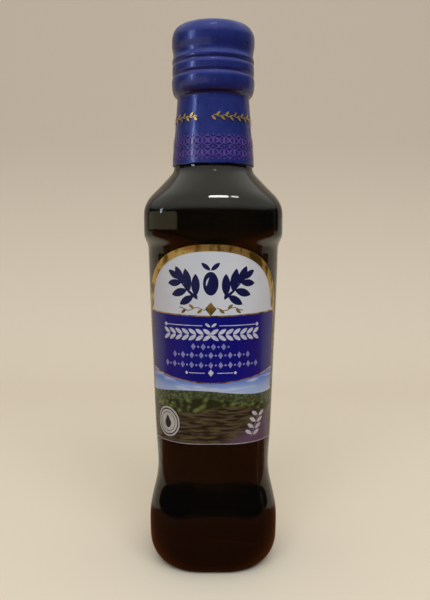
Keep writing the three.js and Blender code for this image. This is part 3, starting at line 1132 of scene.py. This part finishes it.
def make_label_corner_mark():
    """A small white twig in the label's lower right corner."""
    bm = bmesh.new()

    def stalk(s):
        return TWIG_FOOT[1] + (s - TWIG_FOOT[0]) * TWIG_SLOPE
    strip(bm, TWIG_FOOT[0], TWIG_TOP_S, stalk, TWIG_WIDTH, 12)
    for k in range(TWIG_PAIRS):
        z = TWIG_FIRST_Z + TWIG_PITCH * k
        middle = TWIG_FOOT[0] + (z - TWIG_FOOT[1]) / TWIG_SLOPE
        leaf(bm, (middle - TWIG_LEAF_OFF, z + 0.6), *TWIG_LEAF, 150)
        leaf(bm, (middle + TWIG_LEAF_OFF, z + 0.2), *TWIG_LEAF, 30)
    white = flat_ink("twig_white", srgb(196, 192, 196), srgb(214, 210, 212))
    return on_label("label_corner_mark", bm, white)


LATTICE_COLUMNS = 24
LATTICE_ROWS_Z = (165.9, 170.3)
LATTICE_DOTS_Z = (163.7, 168.1, 172.5)
LATTICE_RING = (1.8, 0.3)
LATTICE_LEAF = (3.4, 0.8)
LATTICE_LOZENGE = (0.55, 1.5)
LATTICE_DOT_R = 0.35


def make_film_lattice():
    """Two rows of rings that interlock, each round a lozenge."""
    bm = bmesh.new()
    pitch = FULL_TURN * FILM_ART_R / LATTICE_COLUMNS
    for z in LATTICE_ROWS_Z:
        for k in range(LATTICE_COLUMNS):
            s = (k + 0.5) * pitch
            ring(bm, (s, z), *LATTICE_RING, 20)
            for side in (-1, 1):
                leaf(bm, (s, z), *LATTICE_LEAF, side * 45)
            lozenge(bm, (s + pitch / 2, z), *LATTICE_LOZENGE)
    for z in LATTICE_DOTS_Z:
        for k in range(2 * LATTICE_COLUMNS):
            disc(bm, (k * pitch / 2, z), LATTICE_DOT_R, LATTICE_DOT_R)
    return on_film("film_lattice", bm, lattice_ink())


VINE_LENGTHS = 3
VINE_START = -0.6
VINE_GAP = 5.5
VINE_WAVE = 0.3
VINE_WIDTH = 0.3
VINE_LEAVES = 15
VINE_LEAF = (2.3, 0.95)
VINE_LEAF_OFF = 0.75
VINE_LEAF_LEAN = 48
VINE_BARE_END = 0.8


def vine_line(s):
    return VINE_Z + VINE_WAVE * math.sin(s * 1.9)


def make_film_gold():
    """A gold vine round the neck, in lengths with a gap between them."""
    bm = bmesh.new()
    pitch = FULL_TURN * FILM_ART_R / VINE_LENGTHS
    for k in range(VINE_LENGTHS):
        start = pitch * k + VINE_START
        end = start + pitch - VINE_GAP
        strip(bm, start, end, vine_line, VINE_WIDTH, 72)
        for n in range(VINE_LEAVES):
            s = lerp(start + VINE_BARE_END, end - VINE_BARE_END, n / (VINE_LEAVES - 1))
            side = 1 if n % 2 else -1
            centre = (s, VINE_Z + side * VINE_LEAF_OFF)
            leaf(bm, centre, *VINE_LEAF, side * VINE_LEAF_LEAN)
    return on_film("film_gold_vine", bm, gold_foil(), FILM_FOIL_LIFT)


# The stage, the lights and the camera

STAGE_HALF = 1.2
STAGE_FRONT = -0.9
STAGE_BACK = 0.55
STAGE_TOP = 0.7
COVE_R = 0.25
# What the stage bounces back turns from warm to pale between the first two distances behind the
# bottle's axis, and from dark to warm between the other two in front of it, in millimetres
PALE_BOUNCE_Y = (45, 75)
WARM_BOUNCE_Y = (-330, -210)


def make_stage():
    """A pale sweep. It looks pale all over, but under the bottle it bounces back a warm brown
    light, which grows dark further in front."""
    finish = Nodes("pale_stage")
    pale = srgb(232, 216, 197)
    seen = finish.add("ShaderNodeLightPath").outputs["Is Camera Ray"]
    parts = finish.add("ShaderNodeSeparateXYZ")
    finish.link(finish.place(), parts.inputs[0])
    behind = finish.ramp(parts.outputs[1], *PALE_BOUNCE_Y)
    near = finish.ramp(parts.outputs[1], *WARM_BOUNCE_Y)
    warm = finish.mix(near, srgb(34, 20, 10), srgb(124, 60, 12))
    bounced = finish.mix(behind, warm, srgb(206, 190, 170))
    finish.set(Base_Color=finish.mix(seen, bounced, pale), Roughness=0.75)
    bm = bmesh.new()
    path = [(STAGE_FRONT, 0)]
    path += arc(STAGE_BACK - COVE_R, COVE_R, COVE_R, COVE_R, -90, 0, 16)
    path += [(STAGE_BACK, STAGE_TOP)]
    verts = [bm.verts.new((-STAGE_HALF, y, z)) for y, z in path]
    edges = [bm.edges.new(pair) for pair in zip(verts, verts[1:])]
    made = bmesh.ops.extrude_edge_only(bm, edges=edges)
    moved = [g for g in made["geom"] if isinstance(g, bmesh.types.BMVert)]
    bmesh.ops.translate(bm, verts=moved, vec=(2 * STAGE_HALF, 0, 0))
    mesh = bpy.data.meshes.new("stage")
    bm.to_mesh(mesh)
    bm.free()
    mesh.polygons.foreach_set("use_smooth", [True] * len(mesh.polygons))
    mesh.materials.append(finish.material)
    floor = bpy.data.objects.new("stage", mesh)
    bpy.context.scene.collection.objects.link(floor)


def area_light(name, place, target, size, power, colour, hidden_from):
    """A soft rectangle of light. It's hidden from the camera, and from glossy or diffuse rays."""
    light = bpy.data.lights.new(name, "AREA")
    light.shape = "RECTANGLE"
    light.size, light.size_y = size
    light.energy = power
    light.color = colour
    obj = bpy.data.objects.new(name, light)
    obj.location = place
    obj.rotation_euler = (Vector(target) - Vector(place)).to_track_quat("-Z", "Y").to_euler()
    obj.visible_camera = False
    setattr(obj, "visible_" + hidden_from, False)
    bpy.context.scene.collection.objects.link(obj)


COOL = (0.84, 0.93, 1)
DAYLIGHT = (0.75, 0.86, 1)
AMBER = (1, 0.86, 0.52)
LAMPLIGHT = (1, 0.97, 0.9)
# Small lamps high in front: place across, width, length and power
LAMPS = ((0.012, 0.045, 0.2, 0.6), (0.052, 0.02, 0.12, 0.15), (0.08, 0.015, 0.15, 0.14))
LAMPS_Y = -0.62
LAMPS_Z = 1.42


def make_lights():
    """The softbox only lights. The others only show in what shines."""
    area_light("softbox", (0.05, -1.0, 1.2), (0, 0, 0.14), (1.5, 0.7), 15.4, COOL, "glossy")
    area_light("strip", (-0.9, -0.5, 0.46), (0, 0, 0.2), (0.14, 0.34), 1.1, DAYLIGHT, "diffuse")
    card_z = 0.185
    area_light("card", (-0.326, -0.196, card_z), (0, 0, card_z), (0.9, 0.12), 0.2, AMBER, "diffuse")
    for k, (x, width, length, power) in enumerate(LAMPS):
        place = (x, LAMPS_Y, LAMPS_Z)
        area_light(f"lamp_{k}", place, (x, 0, 0.15), (width, length), power, LAMPLIGHT, "diffuse")


# The light of the studio round the stage: the sine of the height over the horizon, and the colour
STUDIO_BANDS = (
    (-0.03, (0.12, 0.05, 0.015, 1)),
    (0.0, (0.04, 0.035, 0.03, 1)),
    (0.34, (0.05, 0.045, 0.04, 1)),
    (0.48, (0.50, 0.51, 0.50, 1)),
    (0.70, (0.76, 0.76, 0.70, 1)),
    (1.0, (0.78, 0.77, 0.64, 1)),
)


def make_world():
    """Pale where the camera looks past the stage. All else sees a soft dome over a dark horizon."""
    world = bpy.data.worlds.new("studio")
    bpy.context.scene.world = world
    world.use_nodes = True
    tree = world.node_tree
    tree.nodes.clear()
    where = tree.nodes.new("ShaderNodeTexCoord")
    parts = tree.nodes.new("ShaderNodeSeparateXYZ")
    share = tree.nodes.new("ShaderNodeMapRange")
    share.inputs["From Min"].default_value = -1
    bands = tree.nodes.new("ShaderNodeValToRGB")
    ramp = bands.color_ramp
    while len(ramp.elements) < len(STUDIO_BANDS):
        ramp.elements.new(0.5)
    for element, (height, colour) in zip(ramp.elements, STUDIO_BANDS):
        element.position = (height + 1) / 2
        element.color = colour
    dome = tree.nodes.new("ShaderNodeBackground")
    seen = tree.nodes.new("ShaderNodeBackground")
    seen.inputs[0].default_value = srgb(208, 198, 184)
    path = tree.nodes.new("ShaderNodeLightPath")
    choose = tree.nodes.new("ShaderNodeMixShader")
    output = tree.nodes.new("ShaderNodeOutputWorld")
    tree.links.new(where.outputs["Generated"], parts.inputs[0])
    tree.links.new(parts.outputs["Z"], share.inputs["Value"])
    tree.links.new(share.outputs[0], bands.inputs[0])
    tree.links.new(bands.outputs[0], dome.inputs[0])
    tree.links.new(path.outputs["Is Camera Ray"], choose.inputs[0])
    tree.links.new(dome.outputs[0], choose.inputs[1])
    tree.links.new(seen.outputs[0], choose.inputs[2])
    tree.links.new(choose.outputs[0], output.inputs[0])


PHOTO_HEIGHT = 600
FOCAL_PIXELS = 665.2
AXIS_OFF_CENTRE = 1.8
HORIZON_OFF_CENTRE = 42.4
CAMERA_BACK = 0.2731
CAMERA_HIGH = 0.1345
CAMERA_DOWN = 9
SENSOR = 36


def make_camera():
    camera = bpy.data.cameras.new("camera")
    camera.sensor_fit = "VERTICAL"
    camera.sensor_height = SENSOR
    camera.lens = SENSOR * FOCAL_PIXELS / PHOTO_HEIGHT
    camera.shift_x = AXIS_OFF_CENTRE / PHOTO_HEIGHT
    camera.shift_y = HORIZON_OFF_CENTRE / PHOTO_HEIGHT
    camera.clip_start = 0.01
    obj = bpy.data.objects.new("camera", camera)
    obj.location = (0, -CAMERA_BACK, CAMERA_HIGH)
    obj.rotation_euler = (math.radians(90 - CAMERA_DOWN), 0, 0)
    bpy.context.scene.collection.objects.link(obj)
    bpy.context.scene.camera = obj


bpy.context.scene.view_settings.view_transform = "Standard"
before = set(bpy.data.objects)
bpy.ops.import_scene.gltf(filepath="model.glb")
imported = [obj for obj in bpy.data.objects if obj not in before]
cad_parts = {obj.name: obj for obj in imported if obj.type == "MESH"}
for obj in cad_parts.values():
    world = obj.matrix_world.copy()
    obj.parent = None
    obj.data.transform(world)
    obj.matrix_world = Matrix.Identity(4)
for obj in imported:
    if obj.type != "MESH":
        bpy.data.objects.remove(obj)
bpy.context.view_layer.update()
make_camera()
make_stage()
make_lights()
make_world()
make_glass()
make_oil()
make_cap()
make_film()
make_film_lattice()
make_film_gold()
make_label_sheet()
make_label_border()
make_label_gold_lines()
make_label_sprig()
make_label_white_print()
make_label_rows()
make_label_seal()
make_label_corner_mark()
